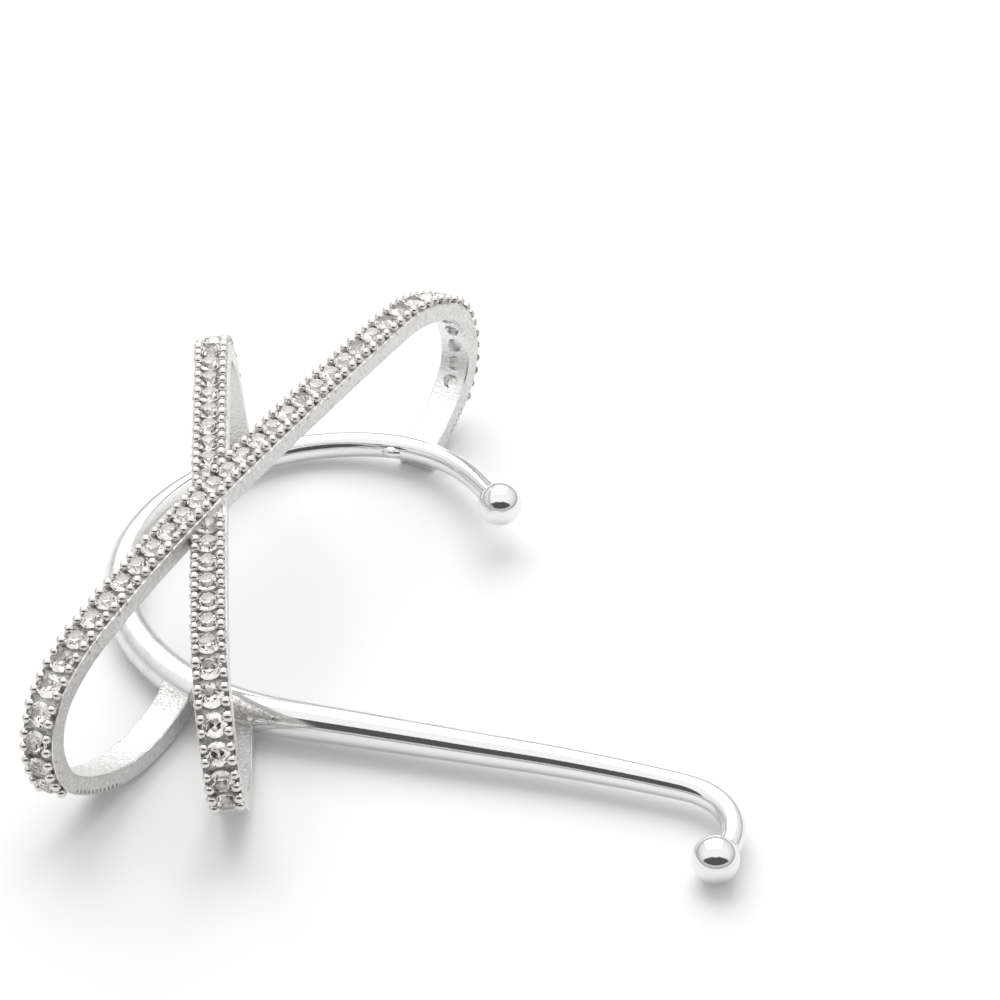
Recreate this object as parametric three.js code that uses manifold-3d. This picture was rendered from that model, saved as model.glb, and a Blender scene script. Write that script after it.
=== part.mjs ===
// Ear cuff: a tapered ear wire with a hooked arm, and two stone-set oval bands
// that cross in an X over it and are soldered to it. Millimetres, +Z up.
import * as THREE from "three";
import Module from "manifold-3d";

const wasm = await Module();
wasm.setup();
const { Manifold, Mesh } = wasm;

// Ear wire: a flat run of arcs from the short end's ball to the hook's ball.
const wireStart = { x: 9.5, y: 7.35, heading: 122 }; // centre of the short end's ball, degrees
const shortTail = 2.6; // straight piece beside the ball
const tipRise = { height: 2.0, length: 16.0, lean: 1.3 }; // the short end springs up out of the plane
const tipArc = { length: 7.2, radius: 7.7 };
const backArc = { length: 14.9, radius: 14.0 };
const sideArc = { length: 24.7, radius: 12.8 };
const armLength = 14.0; // straight part of the arm
const armSweep = { length: 9.4, radius: -90.0 }; // a slight bend the other way
const hookArc = { length: 7.2, radius: -3.5 };
const shortBallRadius = 1.3;
const hookBallRadius = 1.35;
const wireSides = 14;
// Radius of the wire along its run: share of the length, share of the thickest radius.
const wireThickest = 1.15;
const wireTaper = [
  { at: 0.0, radius: 0.53 },
  { at: 0.14, radius: 0.67 },
  { at: 0.29, radius: 0.74 },
  { at: 0.43, radius: 0.88 },
  { at: 0.57, radius: 1.0 },
  { at: 0.71, radius: 0.87 },
  { at: 0.86, radius: 0.72 },
  { at: 1.0, radius: 0.58 },
];

// Bands: flattened ovals of flat strip, open where they meet the wire.
const stripWidth = 2.0;
const stripBase = 0.6; // plain strip under the stones
const stripWall = 1.1; // full wall, strip and setting together
const pieceGap = 0.06; // clearance between the strip and the setting that sits in it
const edgeInset = 0.05; // the setting is narrower than the strip by this on each side
// Each half runs from the middle of the front: front, shoulder, end loop. A return then
// closes it, one arc that ends in the wire, near the given share of the wire's length, with
// its inner face beside the wire's middle line by the given distance, outward.
const longBand = {
  middle: { x: -5.37, y: -2.49, z: 9.2 },
  azimuth: -119.9,
  lean: 6.9,
  upper: [
    { length: 16.8, radius: 500 },
    { length: 5.5, radius: 9.6 },
    { length: 5.65, radius: 3.07 },
  ],
  upperMeets: { share: 0.13, beside: 0.3 },
  lower: [
    { length: 15.25, radius: 110 },
    { length: 3.75, radius: 10.9 },
    { length: 6.15, radius: 3.1 },
  ],
  lowerMeets: { share: 0.55, beside: -0.72 },
};
const shortBand = {
  middle: { x: -7.0, y: -3.6, z: 8.75 },
  azimuth: -87.7,
  lean: 7.1,
  upper: [
    { length: 11.2, radius: 900 },
    { length: 2.0, radius: 8.9 },
    { length: 3.75, radius: 3.1 },
  ],
  upperMeets: { share: 0.27, beside: 0.2 },
  lower: [
    { length: 12.6, radius: 100 },
    { length: 6.25, radius: 6.15 },
    { length: 5.05, radius: 3.0 },
  ],
  lowerMeets: { share: 0.57, beside: 0.04 },
};

// Stones and their prongs.
const stoneDiameter = 1.3;
const stonePitch = 1.57; // measured on the band's outer face
const stoneFacets = 8;
const tableShare = 0.56; // table width over stone width
const girdleRise = 0.1; // girdle over the setting's face
const crownHeight = 0.3;
const prongBase = 0.27; // radius at the foot
const prongTip = 0.19;
const prongHeight = 0.5;
const prongSides = 4;
const prongAcross = 0.74; // from the middle of the strip to a prong's axis
const prongAlong = 0.4; // from the middle of the stone to a prong's axis
// How far the stones reach from the middle of the front, up and down the band.
const longRow = { upperReach: 28.9, lowerReach: 24.8 };
const shortRow = { upperReach: 18.5, lowerReach: 22.0 };
const crossingClear = 0.1; // around the long band where it crosses the short one

// Solder: a wedge along the foot of the arm, and a small bead inside the back arc.
const wedge = { share: 0.57, length: 7.2, radius: 0.82, rise: 0.42, across: -0.2, tip: 0.12 };
const bead = { share: 0.11, radius: 0.5, drop: 0.45 };

// Rest: small turns that set the cuff down on its lowest points.
const restTurn = { x: -1.043, y: 0.593, z: 0.0 };
const restShift = { x: -3.194, y: 3.094, z: 1.2275 };

const rad = THREE.MathUtils.degToRad;
const vec = (x, y, z) => new THREE.Vector3(x, y, z);

// A run of arcs in a plane: point and heading at any distance along it.
function planeRun(heading, arcs) {
  const starts = [];
  let x = 0;
  let y = 0;
  let h = heading;
  let s = 0;
  const step = (from, d) => {
    const k = from.turn;
    if (Math.abs(k) < 1e-9) {
      return { x: from.x + d * Math.cos(from.h), y: from.y + d * Math.sin(from.h), h: from.h };
    }
    return {
      x: from.x + (Math.sin(from.h + k * d) - Math.sin(from.h)) / k,
      y: from.y - (Math.cos(from.h + k * d) - Math.cos(from.h)) / k,
      h: from.h + k * d,
    };
  };
  for (const arc of arcs) {
    const from = { x, y, h, s, turn: arc.radius ? 1 / arc.radius : 0 };
    starts.push(from);
    const end = step(from, arc.length);
    x = end.x;
    y = end.y;
    h = end.h;
    s += arc.length;
  }
  return {
    length: s,
    joints: [...starts.map((f) => f.s), s],
    at(d) {
      let from = starts[0];
      for (const f of starts) if (d >= f.s) from = f;
      return step(from, d - from.s);
    },
  };
}

// Distances along a run, no further apart than the step or the turn allows.
function stations(run, from, to, step, turnStep) {
  const cuts = [from, ...run.joints.filter((j) => j > from + 0.05 && j < to - 0.05), to];
  const out = [from];
  for (let i = 1; i < cuts.length; i++) {
    const a = cuts[i - 1];
    const b = cuts[i];
    const turned = Math.abs(run.at(b - 1e-6).h - run.at(a + 1e-6).h);
    const n = Math.max(1, Math.ceil((b - a) / step), Math.ceil(turned / rad(turnStep)));
    for (let j = 1; j <= n; j++) out.push(a + ((b - a) * j) / n);
  }
  return out;
}

// A closed solid from rings of points, capped at both ends.
function loft(rings) {
  const n = rings[0].length;
  const verts = rings.flat();
  const tris = [];
  for (let i = 0; i + 1 < rings.length; i++) {
    for (let j = 0; j < n; j++) {
      const a = i * n + j;
      const b = i * n + ((j + 1) % n);
      tris.push(a, b, b + n, a, b + n, a + n);
    }
  }
  const last = (rings.length - 1) * n;
  for (let j = 1; j + 1 < n; j++) {
    tris.push(0, j + 1, j, last, last + j, last + j + 1);
  }
  const vertProperties = new Float32Array(verts.flatMap((v) => [v.x, v.y, v.z]));
  const make = (list) =>
    new Manifold(new Mesh({ numProp: 3, vertProperties, triVerts: new Uint32Array(list) }));
  const solid = make(tris);
  if (solid.volume() > 0) return solid;
  for (let i = 0; i < tris.length; i += 3) [tris[i], tris[i + 1]] = [tris[i + 1], tris[i]];
  return make(tris);
}

// The wire's run, in its own flat plane.
const wireRun = planeRun(rad(wireStart.heading), [
  { length: shortTail, radius: 0 },
  tipArc,
  backArc,
  sideArc,
  { length: armLength, radius: 0 },
  armSweep,
  hookArc,
]);
function wireAt(s) {
  const p = wireRun.at(s);
  const left = Math.max(0, 1 - s / tipRise.length);
  const z = tipRise.height * left * left;
  const centre = vec(wireStart.x + p.x, wireStart.y + p.y - tipRise.lean * z, z);
  return { centre, along: vec(Math.cos(p.h), Math.sin(p.h), 0), side: vec(-Math.sin(p.h), Math.cos(p.h), 0) };
}
function wireRadius(s) {
  const share = s / wireRun.length;
  let i = 1;
  while (i < wireTaper.length - 1 && wireTaper[i].at < share) i++;
  const a = wireTaper[i - 1];
  const b = wireTaper[i];
  const t = (share - a.at) / (b.at - a.at);
  return wireThickest * (a.radius + (b.radius - a.radius) * t);
}
function ring(centre, a, b, radius, sides) {
  const out = [];
  for (let j = 0; j < sides; j++) {
    const angle = (2 * Math.PI * j) / sides;
    const p = centre.clone();
    p.addScaledVector(a, radius * Math.cos(angle));
    p.addScaledVector(b, radius * Math.sin(angle));
    out.push(p);
  }
  return out;
}
const up = vec(0, 0, 1);
const wireSolid = loft(
  stations(wireRun, 0, wireRun.length, 3.2, 9).map((s) => {
    const at = wireAt(s);
    return ring(at.centre, at.side, up, wireRadius(s), wireSides);
  }),
);
function ball(centre, radius) {
  return Manifold.sphere(radius, 16).translate([centre.x, centre.y, centre.z]);
}
const shortBall = ball(wireAt(0).centre, shortBallRadius);
const hookBall = ball(wireAt(wireRun.length).centre, hookBallRadius);

// The point near a share of the wire's length where its middle line crosses a plane.
function wireInPlane(origin, normal, share) {
  const offset = (s) => wireAt(s).centre.sub(origin).dot(normal);
  const middle = wireRun.length * share;
  const reach = wireRun.length * 0.12;
  let best = middle;
  for (let s = middle - reach; s <= middle + reach; s += 0.02) {
    if (Math.abs(offset(s)) < Math.abs(offset(best))) best = s;
  }
  return wireAt(best).centre;
}
// The arc that leaves a run's end along its heading and ends at a point of the plane.
function arcTo(end, x, y) {
  const dx = x - end.x;
  const dy = y - end.y;
  const chord = Math.hypot(dx, dy);
  const cos = Math.cos(end.h);
  const sin = Math.sin(end.h);
  const half = Math.atan2(cos * dy - sin * dx, cos * dx + sin * dy);
  if (Math.abs(half) < 1e-6) return { length: chord, radius: 0 };
  return { length: (chord * half) / Math.sin(half), radius: chord / (2 * Math.sin(half)) };
}

// A band's run and frame: along it, outward from it, and across its width.
function bandFrame(band) {
  const az = rad(band.azimuth);
  const lean = rad(band.lean);
  const e1 = vec(Math.cos(az), Math.sin(az), 0);
  const across = vec(-Math.sin(az) * Math.cos(lean), Math.cos(az) * Math.cos(lean), Math.sin(lean));
  const e2 = new THREE.Vector3().crossVectors(e1, across);
  if (e2.z < 0) e2.negate();
  const middle = vec(band.middle.x, band.middle.y, band.middle.z);
  const closed = (arcs, meets, side) => {
    const turned = arcs.map((arc) => ({ length: arc.length, radius: -arc.radius }));
    const open = planeRun(0, turned);
    const end = open.at(open.length);
    const foot = wireInPlane(middle, across, meets.share).sub(middle);
    const x = side * foot.dot(e1);
    const y = foot.dot(e2);
    let last = arcTo(end, x, y);
    for (let i = 0; i < 6; i++) {
      const h = end.h + (last.radius ? last.length / last.radius : 0);
      last = arcTo(end, x - meets.beside * Math.sin(h), y + meets.beside * Math.cos(h));
    }
    return planeRun(0, [...turned, last]);
  };
  const lower = closed(band.lower, band.lowerMeets, 1);
  const upper = closed(band.upper, band.upperMeets, -1);
  const joints = [
    ...upper.joints.slice(1).map((j) => upper.length - j).reverse(),
    upper.length,
    ...lower.joints.slice(1).map((j) => upper.length + j),
  ];
  const flat = (s) => {
    if (s >= upper.length) return lower.at(s - upper.length);
    const p = upper.at(upper.length - s);
    return { x: -p.x, y: p.y, h: -p.h };
  };
  return {
    length: upper.length + lower.length,
    middle: upper.length,
    joints,
    at: flat,
    across,
    // Distance along the outer face from the middle of the front, and the way back from it.
    outer: (s) => s - upper.length - stripWall * flat(s).h,
    fromOuter(distance) {
      let low = 0;
      let high = upper.length + lower.length;
      for (let i = 0; i < 40; i++) {
        const s = (low + high) / 2;
        if (this.outer(s) < distance) low = s;
        else high = s;
      }
      return (low + high) / 2;
    },
    frame(s) {
      const p = flat(s);
      const point = middle.clone();
      point.addScaledVector(e1, p.x).addScaledVector(e2, p.y);
      const along = e1.clone().multiplyScalar(Math.cos(p.h)).addScaledVector(e2, Math.sin(p.h));
      const out = e2.clone().multiplyScalar(Math.cos(p.h)).addScaledVector(e1, -Math.sin(p.h));
      return { point, along, out };
    },
  };
}
const longRun = bandFrame(longBand);
const shortRun = bandFrame(shortBand);

// A flat strip along a band between two distances, from one height to another over its inner face.
function strip(run, from, to, low, high, width) {
  return loft(
    stations(run, from, to, 3.5, 12).map((s) => {
      const f = run.frame(s);
      const corner = (side, height) =>
        f.point.clone().addScaledVector(run.across, (side * width) / 2).addScaledVector(f.out, height);
      return [corner(-1, low), corner(1, low), corner(1, high), corner(-1, high)];
    }),
  );
}
function hoop(run, row) {
  const start = run.middle - row.upperReach;
  const end = run.middle + row.lowerReach;
  const whole = strip(run, 0, run.length, 0, stripBase, stripWidth);
  const tailA = strip(run, 0, start, 0, stripWall, stripWidth);
  const tailB = strip(run, end, run.length, 0, stripWall, stripWidth);
  return Manifold.union([whole, tailA, tailB]);
}

// Solder wedge and bead.
const wedgeStart = wireRun.length * wedge.share;
const wedgeSolid = loft(
  [-0.18, 0.1, 0.4, 0.7, 1.0].map((t) => {
    const at = wireAt(wedgeStart + wedge.length * t);
    const size = wedge.radius + (wedge.tip - wedge.radius) * Math.max(0, t);
    const centre = at.centre.clone().addScaledVector(up, wedge.rise).addScaledVector(at.side, wedge.across);
    return ring(centre, at.side, up, size, 10);
  }),
);
const beadAt = wireAt(wireRun.length * bead.share);
const beadSolid = ball(beadAt.centre.clone().addScaledVector(beadAt.side, bead.drop), bead.radius);

const longHoop = hoop(longRun, longRow);
const shortHoop = hoop(shortRun, shortRow);
const frameSolid = Manifold.union([
  wireSolid,
  shortBall,
  hookBall,
  wedgeSolid,
  beadSolid,
  longHoop,
  shortHoop,
]);

// Stones: a table, a crown of flat facets, a girdle, and a culet hidden in the setting.
function placed(solid, run, s, height) {
  const f = run.frame(s);
  const m = new THREE.Matrix4().makeBasis(f.along, run.across.clone(), f.out);
  if (m.determinant() < 0) m.makeBasis(f.along, run.across.clone().negate(), f.out);
  const o = f.point.clone().addScaledVector(f.out, height);
  m.setPosition(o);
  return solid.transform(m.elements.slice());
}
const stoneRadius = stoneDiameter / 2;
function stoneSolid() {
  const level = (z, radius, turn) => {
    const out = [];
    for (let j = 0; j < stoneFacets; j++) {
      const angle = (2 * Math.PI * (j + turn)) / stoneFacets;
      out.push(vec(radius * Math.cos(angle), radius * Math.sin(angle), z));
    }
    return out;
  };
  return loft([
    level(-0.2, stoneRadius * 0.8, 0.5),
    level(girdleRise, stoneRadius, 0.5),
    level(girdleRise + crownHeight, stoneRadius * tableShare, 0.5),
  ]);
}
const stone = stoneSolid();
const prong = Manifold.cylinder(prongHeight + 0.15, prongBase, prongTip, prongSides).translate([0, 0, -0.15]);

// Centres as distances along the outer face, as many as fit, spread evenly in the stretch.
function stoneCentres(run, from, to) {
  const start = run.outer(from);
  const stretch = run.outer(to) - start;
  const count = Math.floor(stretch / stonePitch);
  const margin = (stretch - (count - 1) * stonePitch) / 2;
  return Array.from({ length: count }, (_, i) => start + margin + i * stonePitch);
}
function settingRow(run, from, to, centres) {
  const plate = strip(run, from, to, stripBase + pieceGap, stripWall, stripWidth - 2 * edgeInset);
  const solids = [plate];
  for (const centre of centres) {
    solids.push(placed(stone, run, run.fromOuter(centre), stripWall));
    for (const along of [-prongAlong, prongAlong]) {
      for (const across of [-prongAcross, prongAcross]) {
        const o = prong.translate([0, across, 0]);
        solids.push(placed(o, run, run.fromOuter(centre + along), stripWall));
      }
    }
  }
  return Manifold.union(solids);
}

// Where the short band's middle line passes under the long band's middle line.
function crossing() {
  let best = { gap: Infinity, short: 0, long: 0 };
  const flatGap = (a, b) => Math.hypot(a.x - b.x, a.y - b.y);
  for (let s = shortRun.middle - 12; s < shortRun.middle + 12; s += 0.1) {
    const p = shortRun.frame(s).point;
    for (let t = longRun.middle - 12; t < longRun.middle + 12; t += 0.1) {
      const gap = flatGap(p, longRun.frame(t).point);
      if (gap < best.gap) best = { gap, short: s, long: t };
    }
  }
  return best;
}
const cross = crossing();
const crossAngle = rad(Math.abs(longBand.azimuth - shortBand.azimuth));
const stoneClear = (stripWidth / 2 + stoneRadius + crossingClear) / Math.sin(crossAngle);

const longFrom = longRun.middle - longRow.upperReach + pieceGap;
const longTo = longRun.middle + longRow.lowerReach - pieceGap;
const shortFrom = shortRun.middle - shortRow.upperReach + pieceGap;
const shortTo = shortRun.middle + shortRow.lowerReach - pieceGap;
const longRowSolid = settingRow(longRun, longFrom, longTo, stoneCentres(longRun, longFrom, longTo));
const shortCentresUpper = stoneCentres(shortRun, shortFrom, cross.short - stoneClear + stonePitch / 2);
const shortCentresLower = stoneCentres(shortRun, cross.short + stoneClear - stonePitch / 2, shortTo);
const bandEnvelope = strip(
  longRun,
  cross.long - 12,
  cross.long + 12,
  -1.0,
  stripWall + 1.2,
  stripWidth + 2 * crossingClear,
);
const upperRowSolid = settingRow(shortRun, shortFrom, cross.short, shortCentresUpper).subtract(bandEnvelope);
const lowerRowSolid = settingRow(shortRun, cross.short, shortTo, shortCentresLower).subtract(bandEnvelope);
const largest = (solid) => solid.decompose().sort((a, b) => b.volume() - a.volume())[0];

// The scene.
function toGeometry(solid) {
  const m = solid.getMesh();
  const position = new Float32Array(m.numVert * 3);
  for (let i = 0; i < m.numVert; i++) {
    position.set(m.vertProperties.subarray(i * m.numProp, i * m.numProp + 3), i * 3);
  }
  const g = new THREE.BufferGeometry();
  g.setAttribute("position", new THREE.BufferAttribute(position, 3));
  g.setIndex(new THREE.BufferAttribute(new Uint32Array(m.triVerts), 1));
  g.computeVertexNormals();
  return g;
}
const polished = new THREE.MeshStandardMaterial({ color: 0xe4e3e1, roughness: 0.14, metalness: 1.0 });
const setStones = new THREE.MeshStandardMaterial({ color: 0xdcdad6, roughness: 0.22, metalness: 0.55 });

const cuff = new THREE.Group();
cuff.name = "ear_cuff";
const rest = new THREE.Group();
rest.rotation.set(rad(restTurn.x), rad(restTurn.y), rad(restTurn.z));
rest.position.set(restShift.x, restShift.y, restShift.z);
cuff.add(rest);
function addNode(name, solid, material) {
  const mesh = new THREE.Mesh(toGeometry(solid), material);
  mesh.name = name;
  rest.add(mesh);
}
addNode("cuff_frame", frameSolid, polished);
addNode("long_stone_row", longRowSolid, setStones);
addNode("short_stone_row_back", largest(upperRowSolid), setStones);
addNode("short_stone_row_front", largest(lowerRowSolid), setStones);

export default cuff;
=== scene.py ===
import bpy
import numpy as np
from mathutils import Euler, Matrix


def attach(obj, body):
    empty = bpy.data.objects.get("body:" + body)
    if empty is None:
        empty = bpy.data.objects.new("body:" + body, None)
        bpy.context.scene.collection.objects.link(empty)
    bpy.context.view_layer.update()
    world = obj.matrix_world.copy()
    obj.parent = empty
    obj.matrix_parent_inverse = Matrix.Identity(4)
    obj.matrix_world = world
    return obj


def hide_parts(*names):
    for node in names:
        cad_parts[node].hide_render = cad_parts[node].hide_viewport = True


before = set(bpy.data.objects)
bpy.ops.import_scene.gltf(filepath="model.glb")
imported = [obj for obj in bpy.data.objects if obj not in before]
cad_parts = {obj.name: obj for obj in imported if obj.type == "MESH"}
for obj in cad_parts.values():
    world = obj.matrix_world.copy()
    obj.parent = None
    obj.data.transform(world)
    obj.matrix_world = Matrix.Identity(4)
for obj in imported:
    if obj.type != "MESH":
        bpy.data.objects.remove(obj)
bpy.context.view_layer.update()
rng = np.random.default_rng(11)
millimetre = 0.001

# How the flat wire's own frame lies on the floor, in degrees and millimetres.
restPose = {"turnX": -1.043, "turnY": 0.593, "shift": (-3.194, 3.094, 1.2275)}

# Place, lens and sensor in millimetres, turns about X, Y and Z in degrees, clips in metres.
cameraPlace = {
    "location": (5.328, -195.108, 165.056),
    "turn": (51.4571, -0.2319, -0.0965),
    "lens": 157.601,
    "sensor": 36.0,
    "clips": (0.01, 20.0),
}


def axisTurn(axis, degrees):
    # Rotation about X or Y: the usual cosine and sine matrix.
    c, s = np.cos(np.radians(degrees)), np.sin(np.radians(degrees))
    if axis == "x":
        return np.array([[1, 0, 0], [0, c, -s], [0, s, c]])
    return np.array([[c, 0, s], [0, 1, 0], [-s, 0, c]])


restMatrix = axisTurn("x", restPose["turnX"]) @ axisTurn("y", restPose["turnY"])


def toRow(points):
    # Resting place of points given in the wire's frame: turn, shift, then metres.
    flat = np.asarray(points, float).reshape(-1, 3)
    return (flat @ restMatrix.T + np.array(restPose["shift"])) * millimetre


def unit(v):
    # Vectors over their own lengths, along the last axis.
    return v / np.linalg.norm(v, axis=-1, keepdims=True)


def smoothStep(t):
    # 0 below 0, 1 above 1, and an even S between.
    t = np.clip(t, 0.0, 1.0)
    return t * t * (3 - 2 * t)


# camera
def makeCamera(place):
    # The camera as given, its place times a millimetre.
    data = bpy.data.cameras.new("view_camera")
    data.lens = place["lens"]
    data.sensor_width = place["sensor"]
    data.clip_start, data.clip_end = place["clips"]
    camera = bpy.data.objects.new("view_camera", data)
    camera.location = [v * millimetre for v in place["location"]]
    camera.rotation_euler = Euler(np.radians(place["turn"]).tolist(), "XYZ")
    bpy.context.scene.collection.objects.link(camera)
    bpy.context.scene.camera = camera


makeCamera(cameraPlace)
print("camera placed")


# shader tools
class Socket:
    # One output socket whose operators add Math nodes.
    def __init__(self, shader, socket):
        self.shader = shader
        self.socket = socket

    def math(self, operation, first, second):
        # Math node: first (operation) second, each a socket or a number.
        return self.shader.node("ShaderNodeMath", {"operation": operation}, {0: first, 1: second})

    def __add__(self, other):
        return self.math("ADD", self, other)

    def __radd__(self, other):
        return self.math("ADD", other, self)

    def __sub__(self, other):
        return self.math("SUBTRACT", self, other)

    def __rsub__(self, other):
        return self.math("SUBTRACT", other, self)

    def __mul__(self, other):
        return self.math("MULTIPLY", self, other)

    def __rmul__(self, other):
        return self.math("MULTIPLY", other, self)


class Shader:
    # A material's node tree, with one method that adds any node.
    def __init__(self, name):
        self.material = bpy.data.materials.new(name)
        self.material.use_nodes = True
        self.tree = self.material.node_tree
        self.surface = self.tree.nodes["Principled BSDF"]
        coordinates = self.tree.nodes.new("ShaderNodeTexCoord")
        self.place = Socket(self, coordinates.outputs["Object"])

    def put(self, socket, value):
        # A socket is linked, anything else is set on the input itself.
        if isinstance(value, Socket):
            self.tree.links.new(value.socket, socket)
        else:
            socket.default_value = value

    def node(self, kind, settings=None, inputs=None, output=0):
        # A node with its settings, colour stops and inputs; gives one of its outputs.
        made = self.tree.nodes.new(kind)
        for key, value in (settings or {}).items():
            if key == "stops":
                ramp = made.color_ramp
                for index, (position, colour) in enumerate(value):
                    stop = ramp.elements[index] if index < 2 else ramp.elements.new(position)
                    stop.position = position
                    stop.color = (*colour, 1.0)
            else:
                setattr(made, key, value)
        for key, value in (inputs or {}).items():
            self.put(made.inputs[key], value)
        return Socket(self, made.outputs[output])

    def set(self, **values):
        # Socket names are given in small letters with underscores, such as base_color.
        for key, value in values.items():
            wanted = key.replace("_", " ")
            name = next(n for n in self.surface.inputs.keys() if n.lower() == wanted)
            self.put(self.surface.inputs[name], value)

    def noise(self, size, detail, stretch=None):
        # Noise whose grain is about the given size in millimetres: scale = 1 / size.
        place = self.place
        if stretch:
            place = self.node("ShaderNodeMapping", None, {"Vector": place, "Scale": stretch})
        scale = 1.0 / (size * millimetre)
        inputs = {"Vector": place, "Scale": scale, "Detail": detail}
        return self.node("ShaderNodeTexNoise", None, inputs)

    def ramp(self, value, stops):
        # Colour that goes evenly from stop to stop as the value grows.
        return self.node("ShaderNodeValToRGB", {"stops": stops}, {"Fac": value})

    def mix(self, share, first, second):
        # Colour first * (1 - share) + second * share; the first may be a socket or a colour.
        first = first if isinstance(first, Socket) else (*first, 1.0)
        colourA, colourB, colourOut = 6, 7, 2
        inputs = {"Factor": share, colourA: first, colourB: (*second, 1.0)}
        return self.node("ShaderNodeMix", {"data_type": "RGBA"}, inputs, colourOut)

    def attribute(self, name):
        # The mesh's own attribute, as one number.
        factorOut = 2
        return self.node("ShaderNodeAttribute", {"attribute_name": name}, None, factorOut)

    def bump(self, height, strength, distance):
        # Normal tilted by the slope of height * distance, the distance in millimetres.
        inputs = {"Height": height, "Strength": strength, "Distance": distance * millimetre}
        return self.node("ShaderNodeBump", None, inputs)


def grey(value, warm=0.0):
    # A grey with a little warmth: red up and blue down by the same amount.
    return (value + warm, value, value - warm)


# mesh tools
def closedFaces(rows, columns):
    # Quads of a tube grid whose columns wrap round: corner (i, j) is vertex i*columns + j.
    i, j = np.meshgrid(np.arange(rows - 1), np.arange(columns), indexing="ij")
    k = (j + 1) % columns
    near, far = i * columns, (i + 1) * columns
    return np.stack([near + j, near + k, far + k, far + j], -1).reshape(-1, 4)


def fan(ring, centre):
    # Triangles from each pair of neighbours on a ring to one centre vertex.
    return np.stack([ring, np.roll(ring, -1), np.full(len(ring), centre)], -1)


def signedVolume(verts, faceSets):
    # Sum over triangles of the dot of one corner with the cross of the others, over 6.
    total = 0.0
    for faces in faceSets:
        for k in range(1, faces.shape[1] - 1):
            a, b, c = (verts[faces[:, n]] for n in (0, k, k + 1))
            total += np.einsum("ij,ij->i", a, np.cross(b, c)).sum() / 6.0
    return total


def capFans(rows, columns):
    # Fans over a tube grid's two end rings, to the two vertices that follow the grid.
    first, end = np.arange(columns), rows * columns
    return np.concatenate([fan(first[::-1], end), fan(end - columns + first, end + 1)])


def circle(count):
    # So many angles, evenly round.
    return np.linspace(0, 2 * np.pi, count, endpoint=False)


def tubeGrid(core, radius, side, top):
    # Rings round the core's points: core + radius * (cos a * side + sin a * top).
    a = circle(radius.shape[1])
    turned = np.cos(a)[None, :, None] * side[:, None] + np.sin(a)[None, :, None] * top[:, None]
    return core[:, None] + radius[..., None] * turned


def plainObject(name, verts, faces, material):
    # An object of one material from lists of vertices and faces.
    mesh = bpy.data.meshes.new(name)
    mesh.from_pydata(verts, [], faces)
    mesh.materials.append(material)
    made = bpy.data.objects.new(name, mesh)
    bpy.context.scene.collection.objects.link(made)
    return made


def addMesh(name, verts, faceSets, attributes=None, smooth=True, sharpAngle=None):
    # Object from resting vertices in metres and face arrays, turned outwards as a whole.
    if signedVolume(verts - verts.mean(0), faceSets) < 0:
        faceSets = [faces[:, ::-1] for faces in faceSets]
    mesh = bpy.data.meshes.new(name)
    mesh.from_pydata(verts.tolist(), [], [f for faces in faceSets for f in faces.tolist()])
    mesh.polygons.foreach_set("use_smooth", np.full(len(mesh.polygons), smooth))
    if sharpAngle:
        mesh.set_sharp_from_angle(angle=np.radians(sharpAngle))
    for key, values in (attributes or {}).items():
        layer = mesh.attributes.new(key, "FLOAT", "POINT")
        layer.data.foreach_set("value", np.asarray(values, np.float32).ravel())
    mesh.update()
    made = bpy.data.objects.new(name, mesh)
    bpy.context.scene.collection.objects.link(made)
    return made


def addTube(name, grid, attributes=None, sharpAngle=None):
    # Closed solid from a grid of rings, rings x columns x 3, with both ends capped. What
    # would lie below the floor is lifted to it.
    rows, columns = grid.shape[:2]
    verts = np.concatenate([grid.reshape(-1, 3), grid[0].mean(0)[None], grid[-1].mean(0)[None]])
    wanted = {}
    for key, values in (attributes or {}).items():
        values = np.asarray(values, float)
        wanted[key] = np.concatenate([values.ravel(), values[0].mean()[None], values[-1].mean()[None]])
    resting = toRow(verts)
    resting[:, 2] = np.maximum(resting[:, 2], 0.0)
    sets = [closedFaces(rows, columns), capFans(rows, columns)]
    return addMesh(name, resting, sets, wanted, True, sharpAngle)


def copies(unitVerts, origins, axes):
    # The unit shape at every origin: origin + x*axis0 + y*axis1 + z*axis2.
    return origins[:, None, :] + np.einsum("nv,pvk->pnk", unitVerts, axes)


def copiedFaces(faces, count, vertsEach):
    # The unit's faces again for each copy, each time further along by its vertex count.
    return (faces[None] + (np.arange(count) * vertsEach)[:, None, None]).reshape(-1, faces.shape[1])


def finishPiece(piece, material, slot, *nodes):
    # A piece's material and body, and the CAD solids that it replaces. The slot is not used.
    piece.data.materials.append(material)
    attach(piece, "root")
    if nodes:
        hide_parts(*nodes)


# runs of arcs
leastTurn = 1e-9  # an arc that turns less than this for each millimetre counts as straight


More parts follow.
